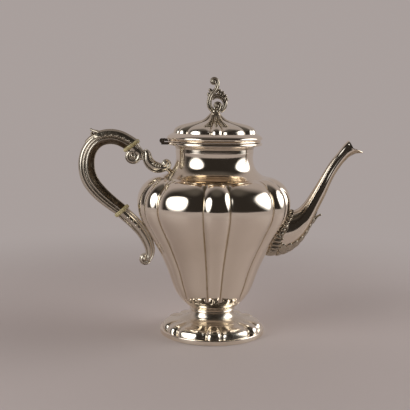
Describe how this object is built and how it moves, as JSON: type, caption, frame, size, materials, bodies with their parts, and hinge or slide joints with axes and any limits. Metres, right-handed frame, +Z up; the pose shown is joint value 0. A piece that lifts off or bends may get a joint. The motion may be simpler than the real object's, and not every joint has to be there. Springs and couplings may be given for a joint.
{
  "type": "coffee pot",
  "caption": "Panelled baluster coffee pot on a domed foot, with a hinged domed lid, an openwork scroll finial, a swan-neck spout and an insulated scroll handle.",
  "frame": {"origin": "centre of the plane that the foot stands on, on the body's axis", "axes": "+Z up along the body's axis, +X towards the spout, -X towards the handle, and the lid hinge is parallel to Y"},
  "size_m": [0.2713, 0.1468, 0.246],
  "materials": {
    "polished_silver": "polished silver with a warm tone",
    "cast_silver": "polished cast silver, darkened in the recesses",
    "silver_pin": "drawn silver",
    "ivory": "cream, satin"
  },
  "bodies": {
    "pot": {"body_shell": "polished_silver", "neck": "polished_silver", "neck_wire": "polished_silver", "mouth_rim": "polished_silver", "stem_collar": "polished_silver", "foot_dome": "polished_silver", "foot_rim": "polished_silver", "spout_left": "polished_silver", "spout_right": "polished_silver", "spout_root_border": "cast_silver", "spout_keel_leaf": "cast_silver", "handle_grip": "cast_silver", "handle_thumb_leaf": "cast_silver", "upper_insulator": "ivory", "lower_insulator": "ivory", "upper_insulator_pins": "silver_pin", "lower_insulator_pins": "silver_pin", "upper_socket": "cast_silver", "upper_bracket": "cast_silver", "lower_socket": "cast_silver", "body_hinge_leaf": "polished_silver", "hinge_pin": "silver_pin"},
    "lid": {"lid_hinge_leaf": "polished_silver", "lid_rim": "polished_silver", "lid_bezel": "polished_silver", "lid_dome": "polished_silver", "finial_collar": "polished_silver", "finial_stud": "silver_pin", "finial_nut": "silver_pin", "finial": "cast_silver"}
  },
  "joints": [
    {"name": "lid_hinge", "type": "hinge", "parent": "pot", "child": "lid", "pos_m": [-0.05, 0, 0.1856], "axis": [0, -1, 0], "range_deg": [0, 105]}
  ]
}
